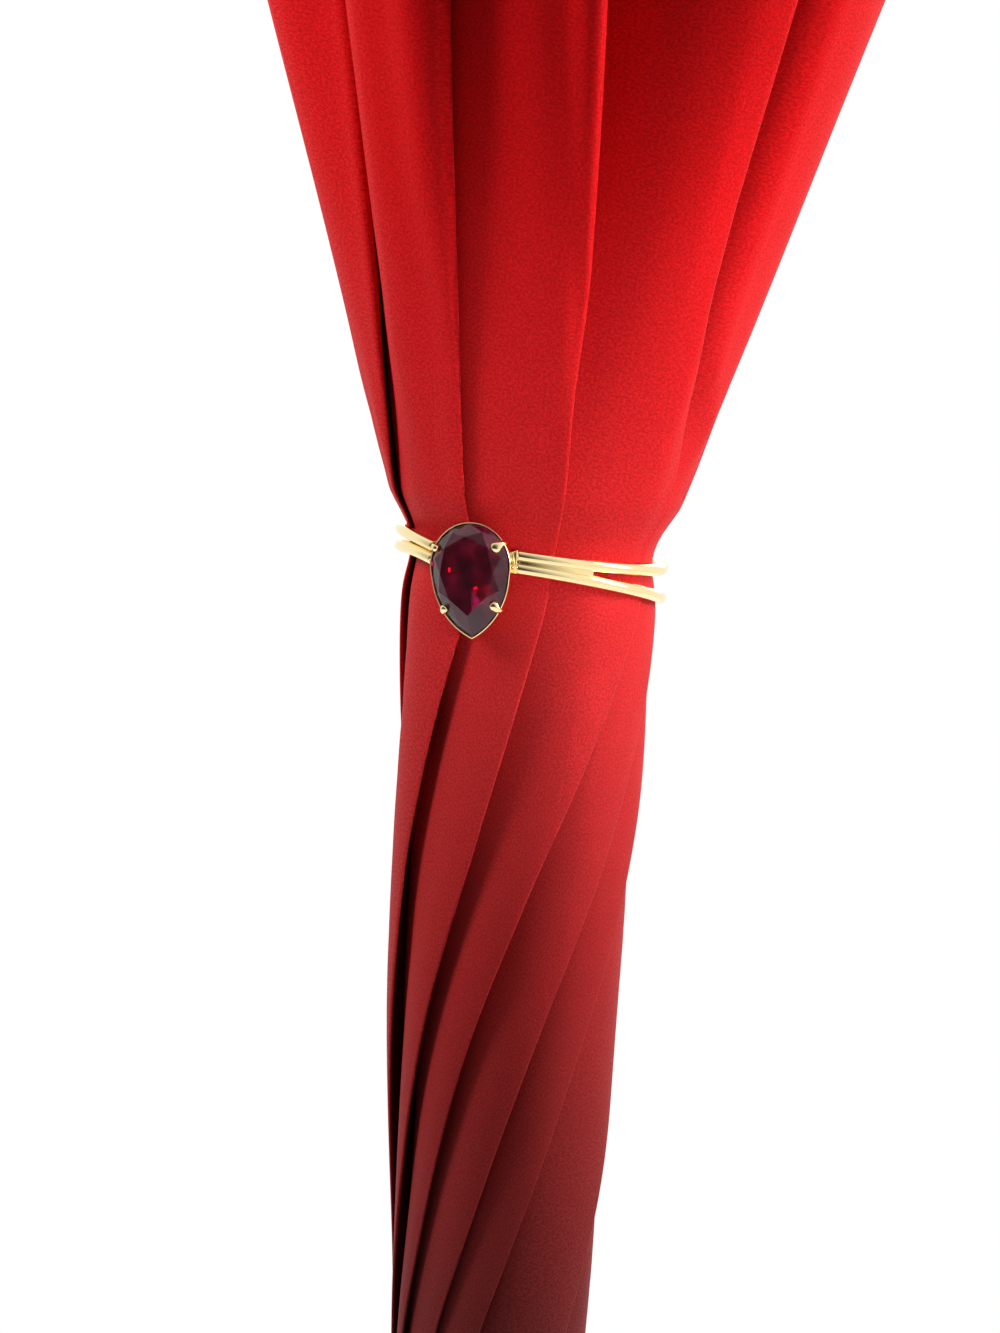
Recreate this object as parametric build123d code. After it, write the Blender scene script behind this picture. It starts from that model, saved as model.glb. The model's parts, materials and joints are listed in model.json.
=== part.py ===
"""Stick umbrella, furled, tip down, with a two-wire bangle that holds the cloth closed.

The frame is +Z up along the shaft, from the ferrule towards the crook handle. Its origin is on the
shaft's axis at the shoulder of the ferrule's spike. Lengths are in millimetres, angles in degrees.
The front of the umbrella, where the bangle's stone sits, faces -Y.
"""

from build123d import *
import math
import os

# ---- frame ----
RIB_COUNT = 8
PITCH = 360 / RIB_COUNT
LINK_LENGTH = 280.0  # from the notch wire to the rivet, and from the rivet to the runner wire
RIB_BEYOND = 60.0  # how far a closed rib reaches past the runner wire
OPEN_ANGLE = 76.0  # how far a rib turns when the umbrella opens
NOTCH_Z = 24.0  # height of the notch wire
LINK_Z = NOTCH_Z + LINK_LENGTH
RUNNER_Z = NOTCH_Z + 2 * LINK_LENGTH
TIP_Z = RUNNER_Z + RIB_BEYOND
PIVOT_R = 9.0  # radius of both hinge wires
WIRE_R = 0.5
PIN_PLAY = 0.15  # radial play of an eye on its wire or rivet

# ---- shaft ----
SHAFT_R = 5.0
SHAFT_WALL = 0.8
FIT = 0.05  # radial clearance of pieces seated on each other
SHAFT_IN_HANDLE = 41.0

# ---- ferrule ----
SPIKE_R = 6.2
SPIKE_LENGTH = 38.0
SPIKE_FLOOR = 3.0
FERRULE_TIP_LENGTH = 6.0
FERRULE_TIP_STEP = 0.4  # how much slimmer the tip is than the spike
CAP_R = 18.0
CAP_HEIGHT = 16.0
CAP_WALL = 1.0

# ---- rib ----
RIB_WIDTH = 3.0
RIB_DEPTH = 2.4
RIB_WALL = 0.5
RIB_OFFSET = 2.0  # from the pivot circle out to the rib's inner edge
RIB_ROOT = 12.0  # length of the flattened root before the channel starts
EYE_R = 1.8
TIP_LENGTH = 8.0
TIP_R = 1.7
TIP_BALL_R = 2.2
TIP_SIDES = 10

# ---- stretcher ----
STRETCHER_WIDTH = 1.6
STRETCHER_DEPTH = 2.0
RIVET_R = 0.6
RIVET_HEAD_R = 1.1
RIVET_HEAD = 0.4

# ---- notch and runner ----
CROWN_R = 10.6
CROWN_HEIGHT = 5.0
SLOT_FLOOR_R = 7.0
SLOT_PLAY = 0.2  # each side of an eye in its slot
NOTCH_HUB = 6.0  # hub below the notch's crown
RUNNER_PLAY = 0.2  # radial, on the shaft
RUNNER_WALL = 1.2
RUNNER_LENGTH = 58.0  # from the runner wire to the sleeve's upper end
GRIP_R = 8.6
GRIP_LENGTH = 9.0

# ---- catches ----
CATCH_ANGLE = PITCH / 2  # between two ribs
CATCH_WIDTH = 1.6
CATCH_REACH = 8.2  # radius that the tooth reaches
CATCH_TOOTH = 6.0
CATCH_LEAF = 22.0
CATCH_LEAF_R = (1.2, 2.4)  # inner and outer radius of the leaf inside the shaft
CATCH_PLAY = 0.3
WINDOW_HEIGHT = 12.0
WINDOW_WIDTH = 3.0
WINDOW_BELOW_TOP = 10.0  # from the window's upper edge to the sleeve's upper end
STOP_R = 1.2
STOP_HALF = 6.8
STOP_GAP = 0.5

# ---- handle ----
COLLAR_GAP = 48.0  # from the closed runner up to the collar
COLLAR_Z = RUNNER_Z + RUNNER_LENGTH + COLLAR_GAP
COLLAR_HEIGHT = 16.0
COLLAR_FLOOR = 4.0
SHAFT_TOP_Z = COLLAR_Z + COLLAR_FLOOR + SHAFT_IN_HANDLE
COLLAR_WALL = 1.5
HANDLE_R = 9.5
HANDLE_STRAIGHT = 76.0
CROOK_R = 40.0
CROOK_END = 24.0
END_CAP_LENGTH = 5.0

# ---- bangle ----
BANGLE_Z = 414.0
BANGLE_R = 34.3  # radius of the wires' centre lines
BANGLE_WIRE_R = 1.6
BANGLE_TILT = 2.9  # the upper wire's rise at the left and fall at the right
BANGLE_BACK = 1.5  # the upper wire's rise from front to back, half of it at the sides
BANGLE_DIP = 1.7  # the wires' fall at their left end, behind the stone
DIP_TURN = 30.0
BANGLE_START = -6.0  # the wires' cut end, from the front and positive to the right
BANGLE_TURN = 319.0
WIRE_GAP = 0.1
WIRE_SPREAD = 7.0  # how much further apart the wires are at the back
WIRE_ARCS = 10
WIRE_SIDES = 12
BRIDGE_TURN = 33.0
STONE_TURN = -24.0  # the stone's place, from the front
STONE_LEAN = 5.8  # the tail's lean to the right
STONE_R = 10.9
STONE_TAIL = 18.0
LUG_TURN = 10.0  # from the stone's middle to where the lug starts
END_TURN = 1.0  # how far the anchor and the lug stop short of the wires' ends
STONE_GIRDLE = 38.0  # distance of the stone's widest plane from the shaft's axis
STONE_CROWN = 3.2
STONE_PAVILION = 2.6
STONE_DROP = 4.0  # of the stone's round centre below the bangle's height
SEAT_OUTER = 0.99  # the gallery ring's edges, as shares of the stone's outline
SEAT_INNER = 0.91
SEAT_DEPTH = 3.6  # from the stone's widest plane to the back of the setting
SEAT_PLATE = 0.7
CLAW_R = 1.0
CLAW_SIDES = 8
CLAWS = ((-9.9, 5.6), (9.5, 5.8), (-7.7, -11.6), (8.0, -11.5))

# ---- cloth ----
CLOTH_LOW_Z = CAP_HEIGHT + 0.5
CLOTH_LOW_R = 17.0
CLOTH_BAND_R = 32.0  # inside the bangle
BAND_HALF = 5.5  # half the height of the stretch that the bangle grips
HEM_BELOW_TIP = 64.0  # how far under the ribs' tips the fold edges end
HEM_Z = TIP_Z - HEM_BELOW_TIP
HEM_R = 87.0
FLARE_STEP_R = 39.2  # where the cloth has come clear of the bangle
FLARE_STEP = 16.0  # the height above the bangle where it has
SECTIONS_BELOW = 13
SECTIONS_ABOVE = 3
TWIST_BELOW = 238.0  # how far the fold edges wind round from the bangle down to the cap
PLEAT_STEPS = 4  # chords in a pleat's section; two of them span the pitch
PLEAT_FRONT = -74.0  # azimuth of the first fold edge
PLEAT_CORE = 15.0  # clear of the closed ribs
CLOTH_GAP = 0.8  # between two pleats at the bangle
HEM_STEP = (0.69, 0.31)  # where the hem's slope changes: shares of its radius and of its rise

PLEAT_TURN = PLEAT_STEPS * PITCH / 2  # how far a pleat reaches round the shaft
OPEN_RUNNER_Z = NOTCH_Z + 2 * LINK_LENGTH * math.cos(math.radians(OPEN_ANGLE))
RIB_INNER = PIVOT_R + RIB_OFFSET
RIB_MIDDLE = RIB_INNER + RIB_DEPTH / 2
EYE_HOLE_R = WIRE_R + PIN_PLAY
PARTS = {}


def add(name, *solids):
    """Keeps one node, made of one or more solids."""
    PARTS[name] = solids[0] if len(solids) == 1 else Compound(children=list(solids))


def round_z(angle):
    return Rot(0, 0, angle)


def cylinder_z(radius, low, high):
    return Pos(0, 0, low) * Cylinder(radius, high - low, align=(Align.CENTER, Align.CENTER, Align.MIN))


def cylinder_y(x, z, radius, width):
    """A cylinder along Y, centred on y = 0."""
    return Pos(x, 0, z) * Rot(90, 0, 0) * Cylinder(radius, width)


def plate_y(points, width):
    """A plate with this outline in the XZ plane, centred on y = 0."""
    face = make_face(Polyline(*[(x, 0, z) for x, z in points], close=True))
    return extrude(face, width / 2, dir=(0, 1, 0), both=True)


def turned(points):
    """A solid turned about Z from an outline of (radius, height) points."""
    face = make_face(Polyline(*[(r, 0, z) for r, z in points], close=True))
    return revolve(face, Axis.Z)


def ring_wire(z):
    """A hinge wire: a ring of eight-sided section."""
    corners = [math.radians(45 * i + 22.5) for i in range(8)]
    return turned([(PIVOT_R + WIRE_R * math.cos(a), z + WIRE_R * math.sin(a)) for a in corners])


# ---- shaft, ferrule and handle ----


def make_shaft():
    low = -SPIKE_LENGTH + SPIKE_FLOOR + FIT
    shaft = cylinder_z(SHAFT_R, low, SHAFT_TOP_Z)
    shaft -= cylinder_z(SHAFT_R - SHAFT_WALL, low, SHAFT_TOP_Z)
    for z in (hand_catch_z(), open_catch_z()):
        slot = Pos(SHAFT_R, 0, z + CATCH_TOOTH / 2) * Box(
            2 * SHAFT_WALL + 2, CATCH_WIDTH + 2 * CATCH_PLAY, CATCH_TOOTH + 4 * CATCH_PLAY
        )
        shaft -= round_z(CATCH_ANGLE) * slot
    add("shaft", shaft - stop_pin(STOP_R + FIT))


def stop_pin(radius):
    z = OPEN_RUNNER_Z - CROWN_HEIGHT / 2 - STOP_GAP - STOP_R
    pin = round_z(CATCH_ANGLE) * cylinder_y(0, z, radius, 2 * STOP_HALF)
    return pin & cylinder_z(STOP_HALF, z - 2 * radius, z + 2 * radius)


def make_ferrule():
    bore = SHAFT_R + FIT
    low = -SPIKE_LENGTH
    spike = cylinder_z(SPIKE_R, low, 0) - cylinder_z(bore, low + SPIKE_FLOOR, 0)
    add("ferrule", spike)
    end = low - FERRULE_TIP_LENGTH
    radius = SPIKE_R - FERRULE_TIP_STEP
    round_off = 0.45 * FERRULE_TIP_LENGTH
    shoulder = (radius - 0.3 * round_off, end + 0.3 * round_off)
    outline = ((0, low), (radius, low), (radius, end + round_off), shoulder)
    outline += ((radius - round_off, end), (0, end))
    add("ferrule_tip", turned(outline))
    lip = CAP_R - CAP_WALL
    seat = SPIKE_R + 2 * CAP_WALL
    outline = (
        (bore, 0),
        (SPIKE_R + CAP_WALL, 0),
        (seat, CAP_HEIGHT * 0.2),
        (lip - CAP_WALL, CAP_HEIGHT * 0.62),
        (CAP_R, CAP_HEIGHT * 0.8),
        (CAP_R, CAP_HEIGHT),
        (lip, CAP_HEIGHT),
        (lip - 2 * CAP_WALL, CAP_HEIGHT * 0.78),
        (seat, CAP_HEIGHT * 0.4),
        (bore, CAP_HEIGHT * 0.4),
    )
    add("open_cap", turned(outline))


def make_handle():
    bore = SHAFT_R + FIT
    floor = COLLAR_Z + COLLAR_FLOOR
    start = floor + FIT
    top = floor + HANDLE_STRAIGHT
    grip = cylinder_z(HANDLE_R, start, top)
    bend = revolve(Plane((0, 0, top)) * Circle(HANDLE_R), Axis((CROOK_R, 0, top), (0, 1, 0)), 180)
    end = Pos(2 * CROOK_R, 0, top - CROOK_END) * cylinder_z(HANDLE_R, 0, CROOK_END)
    add("handle", grip + bend + end - cylinder_z(bore, start, SHAFT_TOP_Z + FIT))
    outline = (
        (0, 0),
        (HANDLE_R + 2 * FIT, 0),
        (HANDLE_R + 2 * FIT, -0.5 * END_CAP_LENGTH),
        (0.82 * HANDLE_R, -0.86 * END_CAP_LENGTH),
        (0.5 * HANDLE_R, -END_CAP_LENGTH),
        (0, -END_CAP_LENGTH),
    )
    add("handle_end_cap", Pos(2 * CROOK_R, 0, top - CROOK_END) * turned(outline))
    outer = HANDLE_R + FIT + COLLAR_WALL
    outline = (
        (bore, COLLAR_Z),
        (outer - 2, COLLAR_Z),
        (outer, COLLAR_Z + 2),
        (outer, COLLAR_Z + COLLAR_HEIGHT - 1),
        (outer - 0.8, COLLAR_Z + COLLAR_HEIGHT),
        (HANDLE_R + FIT, COLLAR_Z + COLLAR_HEIGHT),
        (HANDLE_R + FIT, floor),
        (bore, floor),
    )
    add("handle_collar", turned(outline))


# ---- notch, runner and catches ----


def crown(z, eye_width):
    """A slotted disc round the shaft that holds a hinge wire, with an open groove for the wire."""
    disc = cylinder_z(CROWN_R, z - CROWN_HEIGHT / 2, z + CROWN_HEIGHT / 2)
    groove = WIRE_R + FIT
    top = z + CROWN_HEIGHT / 2
    disc -= cylinder_z(PIVOT_R + groove, z - groove, top) - cylinder_z(PIVOT_R - groove, z - groove, top)
    slot_width = eye_width + 2 * SLOT_PLAY
    slot = Box(CROWN_R, slot_width, CROWN_HEIGHT, align=(Align.MIN, Align.CENTER, Align.CENTER))
    for i in range(RIB_COUNT):
        disc -= round_z(i * PITCH) * Pos(SLOT_FLOOR_R, 0, z) * slot
    return disc


def make_notch():
    hub_low = NOTCH_Z - CROWN_HEIGHT / 2 - NOTCH_HUB
    notch = crown(NOTCH_Z, RIB_WIDTH - 2 * RIB_WALL)
    notch += cylinder_z(SLOT_FLOOR_R, hub_low, NOTCH_Z)
    add("top_notch", notch - cylinder_z(SHAFT_R + FIT, hub_low, NOTCH_Z + CROWN_HEIGHT))
    add("notch_wire", ring_wire(NOTCH_Z))


def make_runner():
    bore = SHAFT_R + RUNNER_PLAY
    low, high = RUNNER_Z - CROWN_HEIGHT / 2, RUNNER_Z + RUNNER_LENGTH
    runner = crown(RUNNER_Z, STRETCHER_WIDTH) + cylinder_z(bore + RUNNER_WALL, low, high)
    grip = (
        (bore, high - GRIP_LENGTH),
        (bore + RUNNER_WALL, high - GRIP_LENGTH),
        (GRIP_R, high - GRIP_LENGTH + 2),
        (GRIP_R, high - 1),
        (GRIP_R - 1, high),
        (bore, high),
    )
    runner += turned(grip)
    runner -= cylinder_z(bore, low, high)
    window = Pos(SHAFT_R, 0, high - WINDOW_BELOW_TOP - WINDOW_HEIGHT / 2)
    window *= Box(2 * RUNNER_WALL + 4, WINDOW_WIDTH, WINDOW_HEIGHT)
    add("runner", runner - round_z(CATCH_ANGLE) * window)
    add("runner_wire", ring_wire(RUNNER_Z))


def hand_catch_z():
    """The lower end of the tooth that holds the runner when closed, in the runner's window."""
    return RUNNER_Z + RUNNER_LENGTH - WINDOW_BELOW_TOP - WINDOW_HEIGHT + CATCH_PLAY * 2


def open_catch_z():
    """The lower end of the tooth that holds the runner when open, above its sleeve."""
    return OPEN_RUNNER_Z + RUNNER_LENGTH + CATCH_PLAY * 3


def catch(z, lock_up):
    """A spring leaf inside the shaft with a tooth through its slot; the steep side locks."""
    inner, outer = CATCH_LEAF_R
    steep, ramp = (z + CATCH_TOOTH, z) if lock_up else (z, z + CATCH_TOOTH)
    flat = steep - 1 if lock_up else steep + 1
    far = z - CATCH_LEAF if lock_up else z + CATCH_TOOTH + CATCH_LEAF
    outline = (
        (inner, far),
        (outer, far),
        (outer, ramp),
        (CATCH_REACH, flat),
        (CATCH_REACH, steep),
        (inner, steep),
    )
    return round_z(CATCH_ANGLE) * plate_y(outline, CATCH_WIDTH)


def make_catches():
    add("hand_catch", catch(hand_catch_z(), True))
    add("open_catch", catch(open_catch_z(), False))
    add("runner_stop", stop_pin(STOP_R))


# ---- ribs and stretchers ----


def make_rib():
    """The rib at azimuth 0: a channel open towards the shaft, with an eye at its root and two ears."""
    inner_width = RIB_WIDTH - 2 * RIB_WALL
    low, high = NOTCH_Z + RIB_ROOT, TIP_Z - TIP_LENGTH
    channel = Box(RIB_DEPTH, RIB_WIDTH, high - low, align=(Align.MIN, Align.CENTER, Align.MIN))
    trough = Box(
        RIB_DEPTH - RIB_WALL, inner_width, high - low - RIB_DEPTH, align=(Align.MIN, Align.CENTER, Align.MIN)
    )
    rib = Pos(RIB_INNER, 0, low) * (channel - Pos(0, 0, RIB_DEPTH) * trough)
    corner = EYE_R * math.tan(math.pi / 8)
    root = plate_y(
        (
            (PIVOT_R - EYE_R, NOTCH_Z + corner),
            (PIVOT_R - EYE_R, NOTCH_Z - corner),
            (PIVOT_R - corner, NOTCH_Z - EYE_R),
            (PIVOT_R + corner, NOTCH_Z - EYE_R),
            (PIVOT_R + EYE_R, NOTCH_Z - corner),
            (RIB_INNER + RIB_DEPTH, low),
            (RIB_INNER + RIB_DEPTH, low + RIB_DEPTH),
            (RIB_INNER, low + RIB_DEPTH),
            (RIB_INNER, low - 1),
        ),
        inner_width,
    )
    ears = plate_y(
        (
            (PIVOT_R - EYE_R, LINK_Z - corner),
            (RIB_INNER, LINK_Z - 2 * EYE_R),
            (RIB_MIDDLE, LINK_Z - 2 * EYE_R),
            (RIB_MIDDLE, LINK_Z + 2 * EYE_R),
            (RIB_INNER, LINK_Z + 2 * EYE_R),
            (PIVOT_R - EYE_R, LINK_Z + corner),
        ),
        RIB_WIDTH,
    )
    reach = RIB_INNER + RIB_DEPTH - RIB_WALL
    gap = Pos(reach / 2, 0, LINK_Z) * Box(reach, inner_width, 6 * EYE_R)
    rib += root + (ears - gap)
    rib -= cylinder_y(PIVOT_R, NOTCH_Z, EYE_HOLE_R, RIB_WIDTH)
    return rib - cylinder_y(PIVOT_R, LINK_Z, RIVET_R + FIT / 2, 2 * RIB_WIDTH)


def make_tip():
    """The end piece that the cloth's corner is sewn to: a faceted sleeve with a bead at its end."""
    rows = (
        (TIP_R, TIP_Z - TIP_LENGTH),
        (TIP_R, TIP_Z - TIP_BALL_R),
        (TIP_BALL_R, TIP_Z - TIP_BALL_R / 2),
        (TIP_BALL_R, TIP_Z + TIP_BALL_R / 2),
        (TIP_BALL_R / 2, TIP_Z + TIP_BALL_R),
    )
    faces = [Plane((RIB_MIDDLE, 0, z)) * RegularPolygon(r, TIP_SIDES) for r, z in rows]
    return loft(faces, ruled=True)


def make_stretcher():
    """The stretcher at azimuth 0: a strip with an eye at each end."""
    width, half = STRETCHER_WIDTH, STRETCHER_DEPTH / 2
    corner = EYE_R * math.tan(math.pi / 8)
    neck = EYE_R + corner
    end = ((EYE_R, corner), (corner, EYE_R), (-corner, EYE_R), (-EYE_R, corner))
    outline = [(PIVOT_R + x, RUNNER_Z + z) for x, z in end]
    outline += [(PIVOT_R - half, RUNNER_Z - neck), (PIVOT_R - half, LINK_Z + neck)]
    outline += [(PIVOT_R - x, LINK_Z - z) for x, z in end]
    outline += [(PIVOT_R + half, LINK_Z + neck), (PIVOT_R + half, RUNNER_Z - neck)]
    strip = plate_y(outline, width)
    strip -= cylinder_y(PIVOT_R, LINK_Z, RIVET_R + FIT, 2 * width)
    return strip - cylinder_y(PIVOT_R, RUNNER_Z, EYE_HOLE_R, 2 * width)


def make_rivet():
    """A round pin across the rib's ears, with an eight-sided head at each end."""
    rivet = cylinder_y(PIVOT_R, LINK_Z, RIVET_R, RIB_WIDTH)
    for side in (-1, 1):
        plane = Plane((PIVOT_R, side * RIB_WIDTH / 2, LINK_Z), z_dir=(0, side, 0))
        rivet += extrude(plane * RegularPolygon(RIVET_HEAD_R, 8), RIVET_HEAD)
    return rivet


def make_ribs():
    rib, tip, stretcher, rivet = make_rib(), make_tip(), make_stretcher(), make_rivet()
    for i in range(RIB_COUNT):
        place = round_z(i * PITCH)
        add(f"rib_{i + 1}", place * rib)
        add(f"rib_tip_{i + 1}", place * tip)
        add(f"stretcher_{i + 1}", place * stretcher)
        add(f"rivet_{i + 1}", place * rivet)


# ---- bangle ----


def wire_heights(turn):
    """Heights of the upper and lower wire's centres, at an angle from the front."""
    a = math.radians(turn)
    dip = max(0.0, 1 - (BANGLE_START + BANGLE_TURN - turn) / DIP_TURN)
    upper = BANGLE_Z - BANGLE_TILT * math.sin(a) - BANGLE_BACK * math.cos(a) / 2 - BANGLE_DIP * dip**2
    along = (turn - BANGLE_START) / BANGLE_TURN
    spread = WIRE_SPREAD * math.sin(math.pi * along) ** 2
    return upper, upper - 2 * BANGLE_WIRE_R - WIRE_GAP - spread


def bangle_point(turn, height):
    a = math.radians(turn - 90)
    return BANGLE_R * math.cos(a), BANGLE_R * math.sin(a), height


def bangle_wire(which):
    """One wire, bent from tangent arcs round the cloth."""
    turns = [BANGLE_START + BANGLE_TURN * i / WIRE_ARCS for i in range(WIRE_ARCS + 1)]
    points = [Vector(bangle_point(t, wire_heights(t)[which])) for t in turns]
    near = Vector(bangle_point(turns[0] + 1, wire_heights(turns[0] + 1)[which]))
    tangent = near - points[0]
    path = []
    for start, end in zip(points, points[1:]):
        path.append(TangentArc(start, end, tangent=tangent))
        tangent = path[-1] % 1
    section = Plane(path[0] @ 0, z_dir=path[0] % 0) * RegularPolygon(BANGLE_WIRE_R, WIRE_SIDES)
    return sweep(section, Wire(path))


def shell_sector(inner, outer, outline):
    """A piece of a tube round the shaft: an outline of (angle from the front, height) points."""
    middle = sum(t for t, _ in outline) / len(outline)
    plane = Plane((0, 0, 0), x_dir=round_dir(middle + 90), z_dir=round_dir(middle))
    flat = [(outer * math.sin(math.radians(t - middle)), z) for t, z in outline]
    block = extrude(plane * make_face(Polyline(*flat, close=True)), 2 * outer)
    low, high = min(z for _, z in outline) - 1, max(z for _, z in outline) + 1
    return block & (cylinder_z(outer, low, high) - cylinder_z(inner, low, high))


def round_dir(turn):
    a = math.radians(turn - 90)
    return math.cos(a), math.sin(a), 0


def pear(scale):
    """The stone's outline: a round head with a pointed tail below it."""
    r, tail = STONE_R * scale, STONE_TAIL * scale
    shoulder = (r * math.cos(math.radians(-15)), r * math.sin(math.radians(-15)))
    head = ThreePointArc(shoulder, (0, r), (-shoulder[0], shoulder[1]))
    bulge = (0.72 * r, -0.61 * tail)
    right = ThreePointArc((0, -tail), bulge, shoulder)
    left = ThreePointArc((-shoulder[0], shoulder[1]), (-bulge[0], bulge[1]), (0, -tail))
    return head, left, right


def pear_points(scale, count=16):
    outline = Wire(pear(scale))
    return [outline @ (i / count) for i in range(count)]


def stone_plane(distance):
    height = BANGLE_Z - STONE_DROP
    normal = round_dir(STONE_TURN)
    origin = [distance * c for c in normal[:2]] + [height]
    lean = math.radians(STONE_LEAN)
    across = [math.cos(lean) * c for c in round_dir(STONE_TURN + 90)[:2]] + [math.sin(lean)]
    return Plane(origin, x_dir=across, z_dir=normal)


def stone_solid(grow=1.0):
    """Facets: a flat table, two rows of crown facets, and a pavilion below the widest plane."""
    rows = (
        (0.35, -STONE_PAVILION),
        (1.0, -0.25),
        (1.0, 0.25),
        (0.86, STONE_CROWN * 0.55),
        (0.6, STONE_CROWN),
    )
    faces = [
        make_face(Polyline(*pear_points(s * grow), close=True)).moved(Location((0, 0, h * grow)))
        for s, h in rows
    ]
    return stone_plane(STONE_GIRDLE) * loft(faces, ruled=True)


def make_setting(wires):
    """The stone's back plate, gallery ring and four claws, with the anchor and lug that hold the wires."""
    back = STONE_GIRDLE - SEAT_DEPTH
    plate = back + SEAT_PLATE
    outer, inner = [make_face(Polyline(*pear_points(s), close=True)) for s in (SEAT_OUTER, SEAT_INNER)]
    setting = extrude(stone_plane(back) * outer, SEAT_PLATE)
    setting += extrude(stone_plane(plate) * (outer - inner), STONE_GIRDLE - plate)
    for x, y in CLAWS:
        reach = math.hypot(x, y)
        inset = (reach - 1.3) / reach
        post = [(CLAW_R, -SEAT_DEPTH), (CLAW_R, 1.2)]
        head = [(0.7 * CLAW_R, 0.2), (1.4 * CLAW_R, 1.0), (1.4 * CLAW_R, 1.7), (0.7 * CLAW_R, 2.4)]
        for place, rows in ((1, post), (inset, head)):
            faces = [Plane((x * place, y * place, h)) * RegularPolygon(r, CLAW_SIDES) for r, h in rows]
            setting += stone_plane(STONE_GIRDLE) * loft(faces, ruled=True)
    wire_end = BANGLE_START + BANGLE_TURN
    left, right, end = wire_end - 360 + END_TURN, STONE_TURN + LUG_TURN, BANGLE_START - END_TURN
    (high_left, low_left), (high_right, low_right) = wire_heights(wire_end), wire_heights(BANGLE_START)
    anchor = (
        (left, low_left - BANGLE_WIRE_R),
        (right, low_right - BANGLE_WIRE_R),
        (right, high_right + BANGLE_WIRE_R),
        (left, high_left + BANGLE_WIRE_R),
    )
    setting += shell_sector(BANGLE_R - 0.7 * BANGLE_WIRE_R, back + SEAT_PLATE / 2, anchor)
    lug = (
        (right - 2, low_right),
        (end, low_right - BANGLE_WIRE_R),
        (end, high_right + BANGLE_WIRE_R),
        (right - 2, high_right),
    )
    setting += shell_sector(BANGLE_R - 0.6 * BANGLE_WIRE_R, BANGLE_R + 0.7 * BANGLE_WIRE_R, lug)
    return setting - stone_solid(1.012) - wires


def make_bangle():
    upper, lower = bangle_wire(0), bangle_wire(1)
    start, end = BANGLE_START + 1, BANGLE_START + BRIDGE_TURN
    (high_start, low_start), (high_end, low_end) = wire_heights(start), wire_heights(end)
    outline = ((start, low_start), (end, low_end), (end, high_end), (start, high_start))
    bridge = shell_sector(BANGLE_R - 0.5, BANGLE_R + 0.5, outline) - upper - lower
    add("bangle_upper_wire", upper)
    add("bangle_lower_wire", lower)
    add("bangle_bridge", bridge.solids().sort_by(SortBy.VOLUME)[-1])
    add("stone_setting", make_setting(upper + lower))
    add("stone", stone_solid())


# ---- cloth ----


def cloth_radius(z):
    """The furled cloth's outer radius: it swells up to the bangle, which grips it, and flares above."""
    if z <= BANGLE_Z:
        part = (z - CLOTH_LOW_Z) / (BANGLE_Z - CLOTH_LOW_Z)
        return CLOTH_LOW_R + (CLOTH_BAND_R - CLOTH_LOW_R) * math.sin(part * math.pi / 2) ** 1.6
    if z <= BANGLE_Z + BAND_HALF:
        return CLOTH_BAND_R
    part = min(1.0, (z - BANGLE_Z - FLARE_STEP) / (HEM_Z - BANGLE_Z - FLARE_STEP))
    return FLARE_STEP_R + (HEM_R - FLARE_STEP_R) * part


def fold_depth(radius, turn):
    """How far under the fold edge's radius the pleat's outer side lies, at an angle behind the edge."""
    return (radius - PLEAT_CORE) * (turn / (PLEAT_TURN + PITCH)) ** 1.6


def pleat_section(z):
    """The cut through the first pleat at one height: it lies under its neighbour's fold edge."""
    radius = cloth_radius(z)
    below = max(0.0, BANGLE_Z - z) / (BANGLE_Z - CLOTH_LOW_Z)
    edge = PLEAT_FRONT - TWIST_BELOW * below
    gap = min(CLOTH_GAP * radius / CLOTH_BAND_R, 0.5 * fold_depth(radius, PITCH))
    turns = [PLEAT_TURN * i / PLEAT_STEPS for i in range(PLEAT_STEPS + 1)]

    def point(turn, r):
        a = math.radians(edge - turn)
        return r * math.cos(a), r * math.sin(a), z

    outer = [point(t, radius - fold_depth(radius, t)) for t in turns]
    inner = [point(t, radius - fold_depth(radius, t + PITCH) + gap) for t in reversed(turns)]
    return make_face(Polyline(*outer, *inner, close=True))


def hem_envelope():
    """What the hem leaves of the pleats: their inner layers rise towards the ribs' tips."""
    top = TIP_Z - TIP_LENGTH / 2
    share, rise = HEM_STEP
    rows = (
        (HEM_R + 1, CLOTH_LOW_Z),
        (HEM_R + 1, HEM_Z),
        (HEM_R * share, HEM_Z + rise * (top - HEM_Z)),
        (PLEAT_CORE, top),
    )
    sides = 2 * RIB_COUNT
    faces = [Plane((0, 0, z)) * Rot(0, 0, PLEAT_FRONT) * RegularPolygon(r, sides) for r, z in rows]
    return loft(faces, ruled=True)


def make_pleats():
    below, above = BANGLE_Z - CLOTH_LOW_Z, HEM_Z - BANGLE_Z - FLARE_STEP
    heights = [CLOTH_LOW_Z + below * i / SECTIONS_BELOW for i in range(SECTIONS_BELOW + 1)]
    heights += [BANGLE_Z + BAND_HALF]
    heights += [BANGLE_Z + FLARE_STEP + above * i / SECTIONS_ABOVE for i in range(SECTIONS_ABOVE + 1)]
    heights += [TIP_Z]
    pleat = loft([pleat_section(z) for z in heights], ruled=True) & hem_envelope()
    for i in range(RIB_COUNT):
        add(f"canopy_panel_{i + 1}", round_z(i * PITCH) * pleat)


make_shaft()
make_ferrule()
make_handle()
make_notch()
make_runner()
make_catches()
make_ribs()
make_bangle()
make_pleats()

os.makedirs("parts", exist_ok=True)
for name, shape in PARTS.items():
    export_step(shape, f"parts/{name}.step")
print(len(PARTS), "nodes")
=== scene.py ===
import json
import math

import bmesh
import bpy
import numpy as np
from mathutils import Matrix, Vector

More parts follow.
